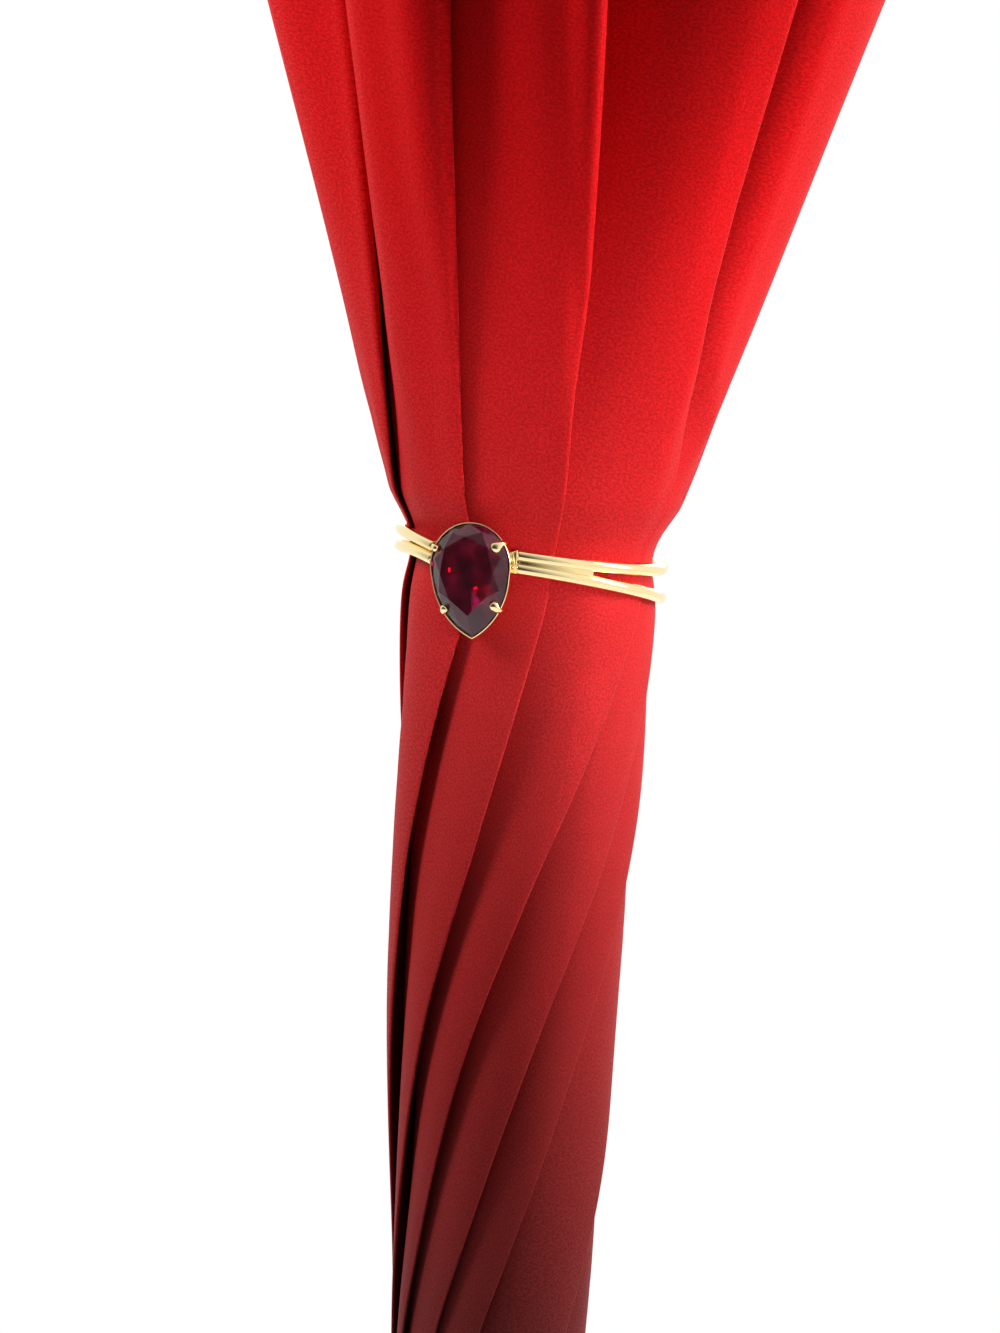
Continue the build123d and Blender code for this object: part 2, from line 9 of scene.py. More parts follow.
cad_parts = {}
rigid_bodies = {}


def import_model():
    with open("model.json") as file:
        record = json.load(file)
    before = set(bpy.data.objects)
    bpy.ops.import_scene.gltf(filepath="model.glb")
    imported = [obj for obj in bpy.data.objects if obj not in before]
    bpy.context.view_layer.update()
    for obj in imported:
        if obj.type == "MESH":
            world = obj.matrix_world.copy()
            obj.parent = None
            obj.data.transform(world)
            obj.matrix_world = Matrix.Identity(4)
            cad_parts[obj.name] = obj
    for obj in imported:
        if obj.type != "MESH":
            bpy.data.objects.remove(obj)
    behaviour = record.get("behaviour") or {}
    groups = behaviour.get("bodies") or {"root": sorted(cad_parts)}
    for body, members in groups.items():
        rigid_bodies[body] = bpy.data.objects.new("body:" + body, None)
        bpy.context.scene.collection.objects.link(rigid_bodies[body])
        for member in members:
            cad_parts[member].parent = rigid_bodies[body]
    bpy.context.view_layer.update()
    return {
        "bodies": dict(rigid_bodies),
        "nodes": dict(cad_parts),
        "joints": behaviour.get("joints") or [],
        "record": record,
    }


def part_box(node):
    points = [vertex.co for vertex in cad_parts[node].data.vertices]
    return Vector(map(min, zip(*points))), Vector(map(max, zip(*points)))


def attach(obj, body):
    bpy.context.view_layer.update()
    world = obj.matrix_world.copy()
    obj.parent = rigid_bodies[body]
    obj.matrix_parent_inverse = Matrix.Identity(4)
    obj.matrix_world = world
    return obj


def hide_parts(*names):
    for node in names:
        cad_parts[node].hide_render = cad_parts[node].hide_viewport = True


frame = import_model()

# ---------------------------------------------------------------- sizes, in millimetres

MM = 0.001
TIP_PAST_HEM = 2.2  # how far a rib's tip stands past the cloth's corner
CAP_LAP = 1.0  # how far the cloth reaches under the open cap
joint = {j["name"]: j for j in frame["joints"]}
RIB_COUNT = sum(1 for n in frame["nodes"] if n.startswith("rib_tip_"))
PITCH = 360 / RIB_COUNT
PIVOT_R, _, NOTCH_Z = [v / MM for v in joint["rib_1_fold"]["pos_m"]]
LINK_LENGTH = joint["stretcher_1_fold"]["pos_m"][2] / MM - NOTCH_Z
TIP_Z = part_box("rib_tip_1")[1].z / MM - TIP_PAST_HEM
RIB_OUTER_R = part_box("rib_1")[1].x / MM
LOW_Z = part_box("open_cap")[1].z / MM - CAP_LAP
GROUND_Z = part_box("ferrule_tip")[0].z / MM
BAND_Z = 414.0  # the bangle's height
HEM_Z = 580.0  # of the folds' outer edges; the hem rises from them to the ribs' tips


def smooth(x):
    """A soft step from 0 to 1, as x goes from 0 to 1."""
    x = np.clip(x, 0.0, 1.0)
    return x * x * (3 - 2 * x)


def along_cloth(z):
    """The distance along a gore, from the top notch, of what lies at height z when furled."""
    return LOW_Z + (z - LOW_Z) * (TIP_Z - LOW_Z) / (HEM_Z - LOW_Z) - NOTCH_Z


# ---------------------------------------------------------------- node trees


class Tree:
    """A node tree, with short calls to add nodes and links."""

    def __init__(self, tree):
        self.tree = tree

    def add(self, kind, **values):
        """A new node. Values are its settings, or else its inputs, with _ for a space."""
        node = self.tree.nodes.new(kind if "Node" in kind else "ShaderNode" + kind)
        for key, value in values.items():
            if hasattr(node, key):
                setattr(node, key, value)
            else:
                node.inputs[key.replace("_", " ")].default_value = value
        return node

    def link(self, source, target):
        self.tree.links.new(source, target)

    def feed(self, value, target):
        """Links a socket to an input, or sets the input to a number or a colour."""
        if isinstance(value, (int, float)):
            target.default_value = value
        elif isinstance(value, tuple):
            target.default_value = (*value, 1.0)
        else:
            self.link(value, target)

    def math(self, operation, a, b=0.0, c=0.0):
        node = self.add("Math", operation=operation)
        for value, target in zip((a, b, c), node.inputs):
            self.feed(value, target)
        return node.outputs[0]

    def mix(self, share, a, b):
        node = self.add("Mix", data_type="RGBA")
        for value, place in ((share, 0), (a, 6), (b, 7)):
            self.feed(value, node.inputs[place])
        return node.outputs[2]

    def ramp(self, share, *stops):
        node = self.add("ValToRGB")
        elements = node.color_ramp.elements
        while len(elements) < len(stops):
            elements.new(0.5)
        for element, (position, colour) in zip(elements, stops):
            element.position = position
            element.color = (*colour, 1.0)
        self.link(share, node.inputs["Fac"])
        return node.outputs["Color"]


class Shading(Tree):
    """A new material's node tree, round its Principled shader."""

    def __init__(self, name):
        self.material = bpy.data.materials.new(name)
        self.material.use_nodes = True
        super().__init__(self.material.node_tree)
        self.shader = self.tree.nodes["Principled BSDF"]

    def set(self, **values):
        """Sets or links the shader's own inputs, named with _ for a space."""
        for key, value in values.items():
            self.feed(value, self.shader.inputs[key.replace("_", " ")])

    def place(self):
        return self.add("TexCoord").outputs["Object"]

    def stretched(self, scale):
        """The place, scaled apart in each direction, for a grain along the stick."""
        node = self.add("Mapping", Scale=scale)
        self.link(self.place(), node.inputs["Vector"])
        return node.outputs[0]

    def noise(self, vector, scale, detail=2.0, roughness=0.5):
        node = self.add("TexNoise", Scale=scale, Detail=detail, Roughness=roughness)
        self.link(vector, node.inputs["Vector"])
        return node.outputs["Fac"]

    def bump(self, height, strength, distance):
        node = self.add("Bump", Strength=strength, Distance=distance)
        self.link(height, node.inputs["Height"])
        self.link(node.outputs["Normal"], self.shader.inputs["Normal"])


# ---------------------------------------------------------------- materials

TWILL_STEP, THREAD_STEP = 0.62 * MM, 0.31 * MM
BLACK, WHITE = (0.0, 0.0, 0.0), (1.0, 1.0, 1.0)
# The cloth's colour along a gore, between what lies at these two heights when furled. Painted shade:
# it darkens and dulls towards the ferrule, where the light falls off, with a paler painted sheen there.
PAINTED_SHADE_Z = (200.0, 560.0)
CLOTH_SHADE_TONES = (
    (0.03, (0.16, 0.046, 0.044)),
    (0.14, (0.34, 0.044, 0.042)),
    (0.28, (0.50, 0.036, 0.035)),
    (0.48, (0.62, 0.032, 0.032)),
    (0.66, (0.70, 0.018, 0.020)),
    (0.85, (0.74, 0.005, 0.006)),
    (1.0, (0.74, 0.002, 0.003)),
)


def cloth_material():
    """Red satin: a fine diagonal twill in the gore's own flat coordinates, and a soft pinkish sheen, partly
    painted into its colour, with painted shade towards the ferrule.
    """
    m = Shading("cloth_red_satin")
    uv = m.add("UVMap", uv_map="gore").outputs["UV"]
    parts = m.add("SeparateXYZ")
    m.link(uv, parts.inputs[0])
    across, along = parts.outputs[0], parts.outputs[1]
    diagonal = m.math("MULTIPLY_ADD", across, 0.9, along)
    twill = m.math("SINE", m.math("MULTIPLY", diagonal, 2 * math.pi / TWILL_STEP))
    thread = m.math("SINE", m.math("MULTIPLY", across, 2 * math.pi / THREAD_STEP))
    weave = m.math("MULTIPLY_ADD", thread, 0.35, m.math("MULTIPLY", twill, 0.65))
    grain = m.ramp(m.noise(uv, 1500.0, 2.0, 0.7), (0.40, BLACK), (0.60, WHITE))
    mottle = m.noise(uv, 160.0, 4.0, 0.65)
    low, high = [along_cloth(z) * MM for z in PAINTED_SHADE_Z]
    height = m.add("MapRange", From_Min=low, From_Max=high)
    m.link(along, height.inputs["Value"])
    # Painted shade: the cloth's colour is darker and duller towards the ferrule.
    body = m.ramp(height.outputs[0], *CLOTH_SHADE_TONES)
    body = m.mix(m.math("MULTIPLY", mottle, 0.25), body, (0.30, 0.004, 0.005))
    # Painted sheen: a pale pinkish red laid over all the cloth, a little stronger on the weave's threads.
    with_painted_sheen = m.mix(m.math("MULTIPLY_ADD", weave, 0.06, 0.15), body, (0.95, 0.03, 0.036))
    specks = m.mix(m.math("MULTIPLY", grain, 0.32), with_painted_sheen, BLACK)
    rough = m.math("MULTIPLY_ADD", grain, 0.10, 0.45)
    m.set(Base_Color=specks, Roughness=rough, Metallic=0.18, Specular_IOR_Level=0.10, Anisotropic=0.5)
    m.set(Sheen_Weight=0.03, Sheen_Roughness=0.4, Sheen_Tint=(1.0, 0.22, 0.24), Specular_Tint=(1.0, 0.2, 0.2))
    tangent = m.add("Tangent", direction_type="UV_MAP", uv_map="gore")
    m.link(tangent.outputs[0], m.shader.inputs["Tangent"])
    m.bump(m.math("MULTIPLY_ADD", grain, 0.6, weave), 0.35, 0.07 * MM)
    return m.material


def gold_material(name, colour, rough):
    """Polished plate with faint casting waves, fine scratches and a warmer tone where it is rubbed."""
    m = Shading(name)
    waves = m.noise(m.place(), 120.0)
    scratches = m.noise(m.place(), 2400.0, 4.0, 0.7)
    red, green, blue = colour
    tone = m.mix(m.math("MULTIPLY", waves, 0.5), colour, (red, 0.93 * green, 0.78 * blue))
    m.set(Base_Color=tone, Roughness=m.math("MULTIPLY_ADD", scratches, 0.10, rough), Metallic=1.0)
    m.bump(m.math("MULTIPLY_ADD", scratches, 0.1, waves), 0.10, 0.25 * MM)
    return m.material


def steel_material():
    """Nickel-plated steel, drawn along its length."""
    m = Shading("steel_nickel")
    streaks = m.noise(m.stretched((900.0, 900.0, 25.0)), 1.0, 4.0, 0.6)
    patches = m.noise(m.place(), 60.0)
    tone = m.mix(streaks, (0.46, 0.46, 0.48), (0.66, 0.66, 0.67))
    tone = m.mix(m.math("MULTIPLY", patches, 0.3), tone, (0.40, 0.38, 0.36))
    rough = m.math("MULTIPLY_ADD", streaks, 0.22, 0.16)
    m.set(Base_Color=tone, Roughness=rough, Metallic=1.0, Anisotropic=0.4)
    m.bump(streaks, 0.15, 0.03 * MM)
    return m.material


def wood_material():
    """Dark stained wood under clear lacquer, its grain running along the stick."""
    m = Shading("wood_dark_lacquer")
    shifted = m.add("VectorMath", operation="ADD")
    m.link(m.stretched((160.0, 160.0, 9.0)), shifted.inputs[0])
    m.link(m.noise(m.place(), 14.0), shifted.inputs[1])
    fibres = m.noise(shifted.outputs[0], 1.0, 6.0, 0.65)
    rings = m.noise(shifted.outputs[0], 0.25)
    stain = ((0.30, (0.018, 0.006, 0.003)), (0.50, (0.060, 0.020, 0.009)), (0.72, (0.115, 0.042, 0.018)))
    tone = m.mix(m.math("MULTIPLY", rings, 0.6), m.ramp(fibres, *stain), (0.040, 0.012, 0.006))
    m.set(Base_Color=tone, Roughness=m.math("MULTIPLY_ADD", fibres, 0.12, 0.24))
    m.set(Coat_Weight=0.35, Coat_Roughness=0.08)
    m.bump(fibres, 0.2, 0.05 * MM)
    return m.material


def stone_material():
    """Dark garnet glass, each facet painted a little lighter or darker and some pavilion facets crimson, as
    flashes of light in the stone, with faint veils and polishing marks.
    """
    m = Shading("stone_garnet")
    # Painted flashes: a lighter or darker colour for each facet, up to crimson.
    facet_flash = m.add("Attribute", attribute_type="GEOMETRY", attribute_name="facet").outputs["Fac"]
    veils = m.noise(m.place(), 240.0)
    marks = m.noise(m.place(), 3500.0, 3.0, 0.7)
    depth = m.math("MULTIPLY_ADD", veils, 0.35, m.math("MULTIPLY", facet_flash, 0.65))
    glass = ((0.25, (0.02, 0.001, 0.005)), (0.52, (0.13, 0.004, 0.024)), (0.82, (0.90, 0.03, 0.19)))
    m.set(Base_Color=m.ramp(depth, *glass), Roughness=m.math("MULTIPLY_ADD", marks, 0.03, 0.01))
    m.set(IOR=1.6, Transmission_Weight=0.85, Specular_IOR_Level=0.4)
    return m.material


def floor_material():
    """A pale floor that looks white where nothing shades it."""
    m = Shading("floor_white")
    m.set(Base_Color=(0.9, 0.9, 0.9), Roughness=0.8, Specular_IOR_Level=0.1)
    path = m.add("LightPath")
    seen = m.math("MAXIMUM", path.outputs["Is Camera Ray"], path.outputs["Is Glossy Ray"])
    seen = m.math("MAXIMUM", seen, path.outputs["Is Transmission Ray"])
    glow = m.add("Emission")
    m.link(m.math("MULTIPLY", seen, 0.78), glow.inputs["Strength"])
    both = m.add("AddShader")
    m.link(m.shader.outputs[0], both.inputs[0])
    m.link(glow.outputs[0], both.inputs[1])
    m.link(both.outputs[0], m.tree.nodes["Material Output"].inputs["Surface"])
    return m.material


MATERIALS = {
    "cloth": cloth_material(),
    "bangle": gold_material("gold_bangle", (1.0, 0.83, 0.46), 0.05),
    "fittings": gold_material("gold_fittings", (0.98, 0.80, 0.46), 0.12),
    "steel": steel_material(),
    "wood": wood_material(),
    "stone": stone_material(),
}

# ---------------------------------------------------------------- pieces


def new_object(name, vertices, faces, material):
    """An object in the scene from points in millimetres."""
    mesh = bpy.data.meshes.new(name)
    mesh.from_pydata([tuple(v) for v in np.asarray(vertices) * MM], [], faces)
    mesh.materials.append(material)
    piece = bpy.data.objects.new(name, mesh)
    bpy.context.scene.collection.objects.link(piece)
    return piece


def make_piece(name, vertices, faces, slot, body, replaces, facetted=False, closed=True):
    """A piece with its slot's material, riding on a body in place of the CAD's nodes."""
    piece = new_object(name, vertices, faces, MATERIALS[slot])
    mesh = piece.data
    if closed:
        solid = bmesh.new()
        solid.from_mesh(mesh)
        bmesh.ops.recalc_face_normals(solid, faces=solid.faces)
        solid.to_mesh(mesh)
        solid.free()
    mesh.polygons.foreach_set("use_smooth", [not facetted] * len(mesh.polygons))
    mesh.update()
    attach(piece, body)
    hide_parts(*replaces)
    return piece


def bands(rows, sides):
    """Faces between rows of points that go round a shape."""
    faces = []
    for start in range(0, (rows - 1) * sides, sides):
        for i in range(sides):
            after = (i + 1) % sides
            faces.append((start + i, start + after, start + sides + after, start + sides + i))
    return faces


def closed_bands(rows, sides):
    """The same, with a cap on the first and the last row."""
    last = (rows - 1) * sides
    return [*bands(rows, sides), tuple(range(sides - 1, -1, -1)), tuple(range(last, last + sides))]


# ---------------------------------------------------------------- the furled cloth

# Each fold edge's turn from the front, in degrees and positive to the right, at heights from the
# bangle in millimetres. The first fold is the one that ends behind the stone.
FOLD_HEIGHTS = (-400, -205, -131, -82, -45, -14, 0, 18, 37, 65, 143, 166)
FOLD_TURNS = (
    (-215, -100, -75, -59, -43, -27, -29, -28, -27, -26, -24, -24),
    (-190, -85, -45, -20, -4, 8, 11, 11, 10, 11, 7, 7),
    (-165, -60, -18, 13, 39, 60, 68, 65, 53, 47, 46, 46),
    (-130, -33, 15, 47, 71, 91, 101, 100, 97, 93, 89, 88),
    (-95, -7, 42, 74, 98, 119, 128, 131, 135, 139, 142, 142),
    (-50, 50, 96, 127, 151, 171, 180, 182, 184, 188, 193, 194),
    (5, 110, 152, 182, 204, 223, 232, 233, 236, 240, 246, 247),
    (60, 172, 209, 235, 255, 272, 280, 289, 294, 298, 302, 302),
)
TURN_SPREAD = 5.0  # the turns are evened out over this much height, up and down
# Each fold's form at the hem: how deep the cloth lies beside its left neighbour, the share of that
# depth 65 mm above the bangle, how far the fold stays level behind its edge and the exponent with
# which it then falls, how far its two layers lie apart, and how far its edge is tucked in.
FOLD_FORMS = (
    (20.0, 0.40, 0.00, 5.0, 12.0, 0.0),
    (12.0, 0.40, 0.15, 0.7, 11.0, 0.0),
    (26.0, 0.36, 0.04, 2.0, 5.0, 0.0),
    (26.0, 0.65, 0.84, 0.75, 8.0, 0.0),
    (16.0, 0.42, 0.05, 1.8, 6.0, 0.0),
    (15.0, 0.42, 0.10, 1.2, 6.0, 0.0),
    (16.0, 0.42, 0.05, 1.6, 6.0, 0.0),
    (16.0, 0.42, 0.50, 2.0, 6.0, 12.0),
)
WOUND_POWER = 1.9  # the exponent of every fold where the cloth is wound tight
# Heights above the bangle at which depths and gaps are set, from the cap to the hem.
FORM_HEIGHTS = (-400, -205, -45, -8, 0, 8, 37, 65, 166)
# Soft ridges and hollows between the folds: heights above the bangle, turns and rises there, and
# half the width in degrees.
SOFT_HEIGHTS = (8, 25, 45, 65, 91, 117, 143, 166)
SOFT_FOLDS = (
    ((10, 10, 9, 7.3, 3.5, 1.0, -1.1, -1.5), (0, 0, -0.3, -0.9, -1.3, -1.6, -1.8, -1.8), 2.6),
    ((-36, -36, -36, -37, -39, -39.5, -38, -38), (0, -0.2, -0.4, -0.7, -1.0, -1.3, -1.3, -1.3), 4.5),
    ((-29, -29, -29, -29.2, -30.7, -30.2, -30.8, -31), (0, 0, 0.2, 0.7, 1.1, 1.2, 1.2, 1.2), 3.6),
    ((46, 46, 46, 46, 44, 42, 40, 40), (0.5, 1.6, 2.2, 1.2, 0, 0, 0, 0), 5.5),
    ((41, 40.5, 39, 38, 37, 36.5, 36, 36), (0, 0.4, 0.6, 0.3, 0.3, 0.5, 0.6, 0.6), 2.8),
    ((-6, -7, -7, -8, -8, -8.5, -10, -10), (0, 0, 0.1, 0.2, 0.4, 0.8, 0.8, 0.8), 4.5),
)
FIRST_RIB_TURN = -315.0  # of the rib where the first fold's outer side ends
CORE_R = RIB_OUTER_R + 0.4  # the cloth comes no closer to the axis
# The outer radius: under the cap and at the bangle, and at the foot of the flare and how it widens.
CAP_R, WAIST_R = 16.6, 33.4
FLARE_R, FLARE_SLOPE = 34.1, 0.32
PINCH, PINCH_SPAN = 1.7, 7.0  # how far the bangle draws the cloth in, and over how much height
LEAN = 2.3  # how far the wound part's outside stands to the right of the shaft
OPEN_RISE = 14.0  # how far the open canopy stands up between two ribs at the hem
OUTER_COLUMNS, INNER_COLUMNS = 36, 16  # on each fold's outer and inner layer
ROW_Z = (200.0, 560.0)  # rows are close together between these heights
ROW_COUNTS = (38, 160, 9)


def cloth_radius(z):
    """The furled cloth's outer radius."""
    part = np.clip((z - LOW_Z) / (BAND_Z - LOW_Z), 0, 1)
    below = CAP_R + (WAIST_R - CAP_R) * np.sin(part * math.pi / 2) ** 1.6
    above = FLARE_R + FLARE_SLOPE * (z - BAND_Z)
    radius = below + (above - below) * smooth((z - BAND_Z) / 14)
    return radius - PINCH * np.exp(-(((z - BAND_Z + 2) / PINCH_SPAN) ** 2))


def fold_turn(k, z):
    """The turn of fold k's edge at height z. k may run past the last fold, round the shaft."""
    row = FOLD_TURNS[k % RIB_COUNT]
    turns = [np.interp(z - BAND_Z + step, FOLD_HEIGHTS, row) for step in (-TURN_SPREAD, 0, TURN_SPREAD)]
    return sum(turns) / 3 + 360 * (k // RIB_COUNT)


def phase_turn(phase, z):
    """The turn at a place between folds, where whole phases are fold edges."""
    whole = np.floor(phase).astype(int)
    before, after = np.zeros_like(z), np.zeros_like(z)
    for k in np.unique(whole):
        here = whole == k
        before[here] = fold_turn(int(k), z[here])
        after[here] = fold_turn(int(k) + 1, z[here])
    return before + (after - before) * (phase - whole)


def over_height(z, *values):
    """A value at each of the form heights, and between them in proportion."""
    return np.interp(z - BAND_Z, FORM_HEIGHTS, values)


def fold_depth(k, q, z, turns_in):
    """How far under the outer radius fold k's outer layer lies, q folds back from its edge."""
    hem_depth, share, level, power, _, tuck = FOLD_FORMS[k % RIB_COUNT]
    loose = smooth((z - BAND_Z - 8) / 50)
    level = level * loose
    power = WOUND_POWER + (power - WOUND_POWER) * loose
    middle = share * hem_depth
    near = over_height(z, 0.9, 3.8, 4.2, 2.2, 1.3, 1.6, 0.55 * middle, middle, hem_depth)
    core = cloth_radius(z) - CORE_R
    near = np.minimum(near, 0.7 * core)
    rise = np.clip((np.minimum(q, 1.0) - level) / (1 - level), 0, 1) ** power
    inward = np.clip((q - 1) / np.maximum(turns_in - 1, 0.2), 0, 1)
    tucked = tuck * smooth((z - BAND_Z - 20) / 146) * (1 - smooth(q / 0.5))
    return near * rise + tucked + (core - near) * inward


def layer_gap(k, z):
    """How far fold k's two layers lie apart."""
    hem_gap = FOLD_FORMS[k % RIB_COUNT][4]
    return over_height(z, 0.5, 1.0, 1.1, 0.9, 0.7, 0.9, 1.6, 1.0 + 0.35 * hem_gap, hem_gap)


def soft_folds(turn, z):
    """The radial offset of the soft ridges and hollows."""
    turn = (turn + 180) % 360 - 180
    total = np.zeros_like(turn)
    for turns, rises, width in SOFT_FOLDS:
        centre = np.interp(z - BAND_Z, SOFT_HEIGHTS, turns)
        rise = np.interp(z - BAND_Z, SOFT_HEIGHTS, rises) * smooth((z - BAND_Z - 4) / 12)
        total += rise * np.exp(-(((turn - centre) / width) ** 2))
    return total


def ripples(turn, z):
    """Soft uneven drape, in millimetres: long streaks above the bangle and a faint unevenness below."""
    a = np.radians(turn)
    up = smooth((z - BAND_Z - 6) / 60)
    near = np.exp(-(((z - BAND_Z - 26) / 26) ** 2))
    long_streaks = (
        0.55 * np.sin(5 * a + 0.010 * z + 0.6)
        + 0.40 * np.sin(9 * a - 0.013 * z + 2.1)
        + 0.28 * np.sin(14 * a + 0.021 * z + 4.0)
    )
    tucks = 0.32 * np.sin(17 * a - 0.035 * z + 1.0) + 0.22 * np.sin(26 * a + 0.05 * z + 0.3)
    low = 0.10 * np.sin(7 * a + 0.045 * z) + 0.08 * np.sin(11 * a - 0.06 * z + 1.2)
    return up * long_streaks + near * tucks + low


def cloth_rows():
    """Heights of the mesh's rows at the fold edges."""
    low = np.linspace(LOW_Z, ROW_Z[0], ROW_COUNTS[0], endpoint=False)
    middle = np.linspace(*ROW_Z, ROW_COUNTS[1], endpoint=False)
    return np.concatenate([low, middle, np.linspace(ROW_Z[1], HEM_Z, ROW_COUNTS[2])])


def furled_column(k, side, u, rib_turn, z):
    """Furled places down one column, at u from fold k's edge (0) to a rib (1), on its outer side (-1)
    or its inner one (1)."""
    is_inner = side > 0
    mean_turn = np.mean([fold_turn(j, z) - PITCH * j for j in range(RIB_COUNT)], axis=0)
    turns_in = np.maximum((mean_turn - FIRST_RIB_TURN) / PITCH, 0.3)
    folds_back = turns_in - is_inner * np.minimum(1.0, turns_in * 0.6)
    q = u * folds_back
    end_turn = rib_turn + PITCH * is_inner
    turn = phase_turn(k - q, z) + (end_turn - phase_turn(k - folds_back, z)) * smooth(u)
    depth = fold_depth(k, q, z, turns_in)
    gap = layer_gap(k, z)
    edge = np.clip(np.radians(q * PITCH) * cloth_radius(z) / (0.5 * gap), 0, 1)
    round_off = 0.5 * gap * (1 - np.sqrt(1 - (1 - edge) ** 2))
    if is_inner:
        depth = depth + (gap - round_off) * (1 - smooth((u - 0.85) / 0.15))
    else:
        depth = depth + round_off
    wave = ripples(turn, z) * np.exp(-1.2 * q) + soft_folds(turn, z) * (1 - smooth((q - 0.8) / 0.4))
    radius = np.maximum(cloth_radius(z) - depth + wave, CORE_R)
    a = np.radians(turn - 90)
    lean = LEAN * smooth((BAND_Z - 110 - z) / 80) * (radius - CORE_R) / (cloth_radius(z) - CORE_R)
    return np.stack([radius * np.cos(a) + lean, radius * np.sin(a), z], axis=-1)


def open_column(s, rib_turn, at_rib):
    """The terms that open one column, at s from the gore's left rib (-1) to its right one (1): places
    along closed ribs, the moves with the sine and with the fall of the ribs' angle, and flat places."""
    along = np.maximum(at_rib - NOTCH_Z, 0.0)
    zero = np.zeros_like(along)
    left, right = round_dir(rib_turn), round_dir(rib_turn + PITCH)
    x, y, _ = 0.5 * (1 - s) * left + 0.5 * (1 + s) * right
    offset = CORE_R - PIVOT_R
    rise = OPEN_RISE * (1 - s * s) * along / (TIP_Z - NOTCH_Z)
    straight = np.stack([x * CORE_R + zero, y * CORE_R + zero, np.maximum(at_rib, NOTCH_Z)], axis=-1)
    out = np.stack([x * along, y * along, rise - offset], axis=-1)
    drop = np.stack([zero - x * offset, zero - y * offset, -along], axis=-1)
    flat = np.stack([s * along * math.tan(math.radians(PITCH / 2)), along], axis=-1)
    return straight, out, drop, flat


def round_dir(turn):
    """The direction away from the shaft at a turn from the front."""
    a = math.radians(turn - 90)
    return np.array([math.cos(a), math.sin(a), 0.0])


def cloth_grid():
    """Furled places, the moves that open the canopy, and flat places of every point, as rows by columns."""
    rows = cloth_rows()
    at_rib = LOW_Z + (rows - LOW_Z) / (HEM_Z - LOW_Z) * (TIP_Z - LOW_Z)
    outer = (np.arange(OUTER_COLUMNS, 0, -1) / OUTER_COLUMNS) ** 2.1
    inner = (np.arange(0, INNER_COLUMNS) / INNER_COLUMNS) ** 1.8
    columns = []
    for k in range(RIB_COUNT):
        rib_turn = FIRST_RIB_TURN + PITCH * k
        for side, u in [(-1, u) for u in outer] + [(1, u) for u in inner]:
            furled = furled_column(k, side, u, rib_turn, rows + (at_rib - rows) * u)
            straight, out, drop, flat = open_column(side * u, rib_turn, at_rib)
            columns.append((furled, out, drop, furled - straight, flat))
    return [np.stack(parts, axis=1) for parts in zip(*columns)]


def opening_group():
    """Moves the cloth with the ribs. The runner's height gives the ribs' angle."""
    group = bpy.data.node_groups.new("cloth_opening", "GeometryNodeTree")
    for way in ("INPUT", "OUTPUT"):
        group.interface.new_socket("Geometry", in_out=way, socket_type="NodeSocketGeometry")
    tree = Tree(group)

    def scaled(name, factor):
        read = tree.add("GeometryNodeInputNamedAttribute", data_type="FLOAT_VECTOR", Name=name)
        node = tree.add("VectorMath", operation="SCALE")
        tree.link(read.outputs["Attribute"], node.inputs[0])
        tree.link(factor, node.inputs["Scale"])
        return node.outputs[0]

    def added(a, b):
        node = tree.add("VectorMath", operation="ADD")
        tree.link(a, node.inputs[0])
        tree.link(b, node.inputs[1])
        return node.outputs[0]

    runner_body = frame["bodies"]["runner"]
    runner = tree.add("GeometryNodeObjectInfo", transform_space="ORIGINAL", Object=runner_body)
    split = tree.add("SeparateXYZ")
    tree.link(runner.outputs["Location"], split.inputs[0])
    fall = tree.math("DIVIDE", split.outputs[2], -2 * LINK_LENGTH * MM)
    fall = tree.math("MINIMUM", tree.math("MAXIMUM", fall, 0.0), 1.0)
    cosine = tree.math("SUBTRACT", 1.0, fall)
    sine = tree.math("SQRT", tree.math("SUBTRACT", 1.0, tree.math("MULTIPLY", cosine, cosine)))
    part = tree.math("MINIMUM", tree.math("DIVIDE", fall, 0.2), 1.0)
    curve = tree.math("SUBTRACT", 3.0, tree.math("MULTIPLY", part, 2.0))
    unfurl = tree.math("MULTIPLY", tree.math("MULTIPLY", part, part), curve)
    back = tree.math("MULTIPLY", unfurl, -1.0)
    move = added(added(scaled("out", sine), scaled("drop", fall)), scaled("furl", back))
    start, end = tree.add("NodeGroupInput"), tree.add("NodeGroupOutput")
    shift = tree.add("GeometryNodeSetPosition")
    tree.link(start.outputs[0], shift.inputs["Geometry"])
    tree.link(move, shift.inputs["Offset"])
    tree.link(shift.outputs["Geometry"], end.inputs[0])
    return group


def make_canopy():
    """The whole cover as one sheet: eight gores, each folded in half and wound round the ribs."""
    furled, out, drop, furl, flat = cloth_grid()
    panels = [f"canopy_panel_{k + 1}" for k in range(RIB_COUNT)]
    faces = bands(*furled.shape[:2])
    piece = make_piece("canopy", furled.reshape(-1, 3), faces, "cloth", "stick", panels, closed=False)
    mesh = piece.data
    for name, values in (("out", out), ("drop", drop), ("furl", furl)):
        attribute = mesh.attributes.new(name, "FLOAT_VECTOR", "POINT")
        attribute.data.foreach_set("vector", (values.reshape(-1, 3) * MM).ravel())
    corner = np.empty(len(mesh.loops), dtype=np.int32)
    mesh.loops.foreach_get("vertex_index", corner)
    uv = mesh.uv_layers.new(name="gore")
    uv.data.foreach_set("uv", (flat.reshape(-1, 2)[corner] * MM).ravel())
    modifier = piece.modifiers.new("opening", "NODES")
    modifier.node_group = opening_group()


make_canopy()

# ---------------------------------------------------------------- the bangle

STONE_TURN, STONE_LEAN = -24.0, 5.8  # its place from the front, and its tail's lean to the right
STONE_Z, STONE_GIRDLE = 410.0, 38.0  # its middle's height, and its girdle's distance from the axis
STONE_R, STONE_TAIL = 10.9, 18.0
KEEL_TOP, KEEL_END, KEEL_DEPTH = 3.0, -5.5, -2.6
